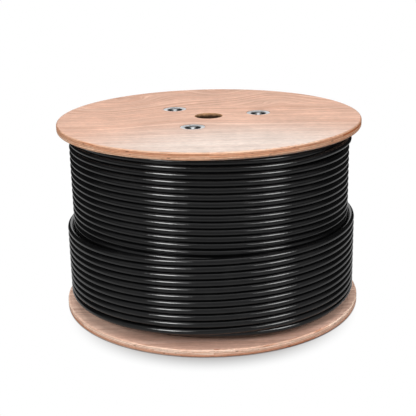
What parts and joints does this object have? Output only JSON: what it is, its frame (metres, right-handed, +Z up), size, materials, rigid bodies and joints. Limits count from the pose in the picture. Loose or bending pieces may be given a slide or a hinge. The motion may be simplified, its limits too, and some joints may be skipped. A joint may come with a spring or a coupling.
{
  "type": "wooden cable drum",
  "caption": "Plywood-flanged cable drum standing on end, wound with black round cable, with a central arbor hole and recessed tie-rod nuts.",
  "frame": {"origin": "middle of the lower flange's outer face, which the drum stands on", "axes": "+Z up along the arbor hole, from the lower to the upper flange; +X to the right in the picture's view"},
  "size_m": [0.48, 0.48, 0.304],
  "materials": {
    "plywood": "sanded bare veneer",
    "paperboard": "spiral-wound kraft",
    "cable_jacket": "satin extruded polyethylene",
    "zinc_steel": "bright zinc plated"
  },
  "bodies": {
    "root": {"bottom_flange": "plywood", "top_flange": "plywood", "barrel": "paperboard", "cable_winding": "cable_jacket", "tie_rod_1": "zinc_steel", "tie_rod_2": "zinc_steel", "tie_rod_3": "zinc_steel", "cup_washer_top_1": "zinc_steel", "cup_washer_top_2": "zinc_steel", "cup_washer_top_3": "zinc_steel", "cup_washer_bottom_1": "zinc_steel", "cup_washer_bottom_2": "zinc_steel", "cup_washer_bottom_3": "zinc_steel", "nut_top_1": "zinc_steel", "nut_top_2": "zinc_steel", "nut_top_3": "zinc_steel", "nut_bottom_1": "zinc_steel", "nut_bottom_2": "zinc_steel", "nut_bottom_3": "zinc_steel"}
  },
  "joints": []
}
